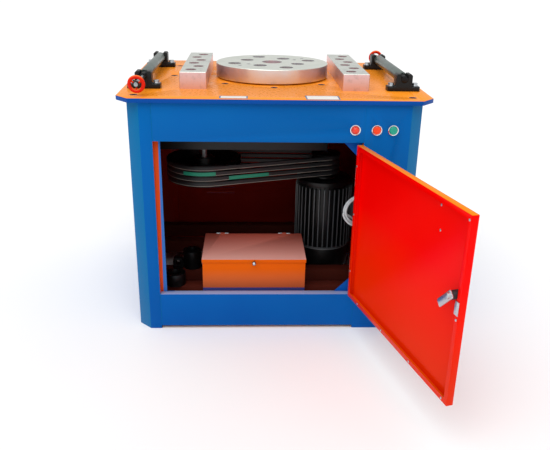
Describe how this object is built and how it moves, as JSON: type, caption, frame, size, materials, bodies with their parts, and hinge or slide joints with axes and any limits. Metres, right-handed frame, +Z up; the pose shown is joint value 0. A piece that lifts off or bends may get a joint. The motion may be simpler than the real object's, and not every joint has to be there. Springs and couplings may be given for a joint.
{
  "type": "rebar bender",
  "caption": "Floor-standing rebar bender: sheet-steel cabinet, heavy table with a slow drilled working disc, side rollers, hinged door and belt drive.",
  "frame": {"origin": "on the floor, under the middle of the table plate", "axes": "+Z up, +X to the right of an operator who faces the door side, +Y from the door side to the back"},
  "size_m": [0.877, 1.3086, 0.767],
  "materials": {
    "blue_paint": "gloss enamel",
    "red_oxide_paint": "primer",
    "orange_paint": "gloss enamel",
    "black_steel": "blackened",
    "machined_steel": "ground",
    "bright_steel": "turned",
    "roller_steel": "drawn",
    "zinc_plate": "zinc plated",
    "red_paint": "gloss enamel",
    "gear_steel": "cut",
    "black_casting": "black enamel on casting",
    "belt_rubber": "moulded rubber",
    "black_plastic": "moulded",
    "red_door_paint": "gloss enamel",
    "chrome_trim": "polished",
    "red_plastic": "moulded",
    "green_plastic": "moulded",
    "lamp_lens": "translucent moulded",
    "grey_cable": "sheathed cable"
  },
  "bodies": {
    "machine": {"bracket_bolts": "zinc_plate", "control_bezels": "chrome_trim", "control_cable": "grey_cable", "control_cable_coil": "grey_cable", "control_station": "black_plastic", "corner_gussets": "blue_paint", "drive_belts": "belt_rubber", "floor_beams": "red_oxide_paint", "gearbox_bearings": "bright_steel", "gearbox_cover": "black_casting", "gearbox_housing": "black_casting", "header_panel": "blue_paint", "indicator_lamp": "lamp_lens", "left_front_bracket": "black_casting", "left_hole_block": "machined_steel", "left_rear_bracket": "black_casting", "left_side_panel": "blue_paint", "motor_end_shields": "black_casting", "motor_fan_cover": "black_casting", "motor_frame": "black_casting", "motor_mount": "black_casting", "post_hinge_leaves": "zinc_plate", "rear_panel": "blue_paint", "right_front_bracket": "black_casting", "right_hole_block": "machined_steel", "right_rear_bracket": "black_casting", "right_side_panel": "blue_paint", "roller_shafts": "bright_steel", "sill_panel": "blue_paint", "spare_tooling": "black_steel", "table_plate": "orange_paint", "table_screws": "black_steel", "terminal_box": "black_casting", "toolbox_body": "orange_paint", "toolbox_hinges": "zinc_plate"},
    "disc": {"working_disc": "machined_steel", "main_shaft": "orange_paint", "main_gear": "gear_steel"},
    "third_reduction_shaft": {"third_shaft": "gear_steel", "third_gear": "gear_steel"},
    "second_reduction_shaft": {"second_shaft": "gear_steel", "second_gear": "gear_steel"},
    "pulley_shaft": {"input_shaft": "gear_steel", "large_pulley": "black_casting"},
    "rotor": {"motor_rotor": "bright_steel", "motor_pulley": "black_casting", "motor_fan": "black_plastic"},
    "door": {"door_panel": "red_door_paint", "door_hinge_leaves": "zinc_plate", "door_lock_body": "black_plastic", "door_lock_plate": "zinc_plate"},
    "lock_tongue": {"door_lock_tongue": "zinc_plate"},
    "lid": {"toolbox_lid": "orange_paint", "toolbox_knob": "zinc_plate"},
    "left_tube": {"left_roller": "roller_steel"},
    "right_tube": {"right_roller": "roller_steel"},
    "left_wheel": {"left_handwheel": "red_paint"},
    "right_wheel": {"right_handwheel": "red_paint"},
    "stop_button": {"red_button": "red_plastic"},
    "start_button": {"green_button": "green_plastic"}
  },
  "joints": [
    {"name": "disc_spin", "type": "hinge", "parent": "machine", "child": "disc", "pos_m": [0, 0.025, 0.7], "axis": [0, 0, 1], "continuous": true},
    {"name": "third_shaft_spin", "type": "hinge", "parent": "machine", "child": "third_reduction_shaft", "pos_m": [-0.12052, 0.16863, 0.6], "axis": [0, 0, 1], "continuous": true},
    {"name": "second_shaft_spin", "type": "hinge", "parent": "machine", "child": "second_reduction_shaft", "pos_m": [-0.24134, 0.07314, 0.6], "axis": [0, 0, 1], "continuous": true},
    {"name": "pulley_shaft_spin", "type": "hinge", "parent": "machine", "child": "pulley_shaft", "pos_m": [-0.219, -0.06, 0.45], "axis": [0, 0, 1], "continuous": true},
    {"name": "motor_spin", "type": "hinge", "parent": "machine", "child": "rotor", "pos_m": [0.184, 0, 0.45], "axis": [0, 0, 1], "continuous": true},
    {"name": "door_swing", "type": "hinge", "parent": "machine", "child": "door", "pos_m": [0.246, -0.366, 0.35], "axis": [0, 0, 1], "range_deg": [-105, 10]},
    {"name": "lock_turn", "type": "hinge", "parent": "door", "child": "lock_tongue", "pos_m": [0.3863, -0.90506, 0.394], "axis": [-0.9659, -0.2588, 0], "range_deg": [0, 135]},
    {"name": "lid_lift", "type": "hinge", "parent": "machine", "child": "lid", "pos_m": [-0.0575, -0.0884, 0.207], "axis": [-1, 0, 0], "range_deg": [0, 56]},
    {"name": "left_roller_spin", "type": "hinge", "parent": "machine", "child": "left_tube", "pos_m": [-0.377, 0, 0.743], "axis": [0, 1, 0], "continuous": true},
    {"name": "right_roller_spin", "type": "hinge", "parent": "machine", "child": "right_tube", "pos_m": [0.377, 0, 0.743], "axis": [0, 1, 0], "continuous": true},
    {"name": "left_handwheel_turn", "type": "hinge", "parent": "machine", "child": "left_wheel", "pos_m": [-0.377, -0.35, 0.743], "axis": [0, 1, 0], "range_deg": [-720, 720]},
    {"name": "right_handwheel_turn", "type": "hinge", "parent": "machine", "child": "right_wheel", "pos_m": [0.377, 0.26, 0.743], "axis": [0, 1, 0], "range_deg": [-720, 720]},
    {"name": "red_button_press", "type": "slide", "parent": "machine", "child": "stop_button", "axis": [0, 1, 0], "range_m": [0, 0.004], "stiffness_N_per_m": 400, "springref_m": -0.002},
    {"name": "green_button_press", "type": "slide", "parent": "machine", "child": "start_button", "axis": [0, 1, 0], "range_m": [0, 0.004], "stiffness_N_per_m": 400, "springref_m": -0.002}
  ],
  "couplings": [
    {"joint": "third_shaft_spin", "follows": "disc_spin", "ratio": -4},
    {"joint": "second_shaft_spin", "follows": "disc_spin", "ratio": 14.118},
    {"joint": "pulley_shaft_spin", "follows": "disc_spin", "ratio": -56.471},
    {"joint": "motor_spin", "follows": "disc_spin", "ratio": -141.18}
  ]
}
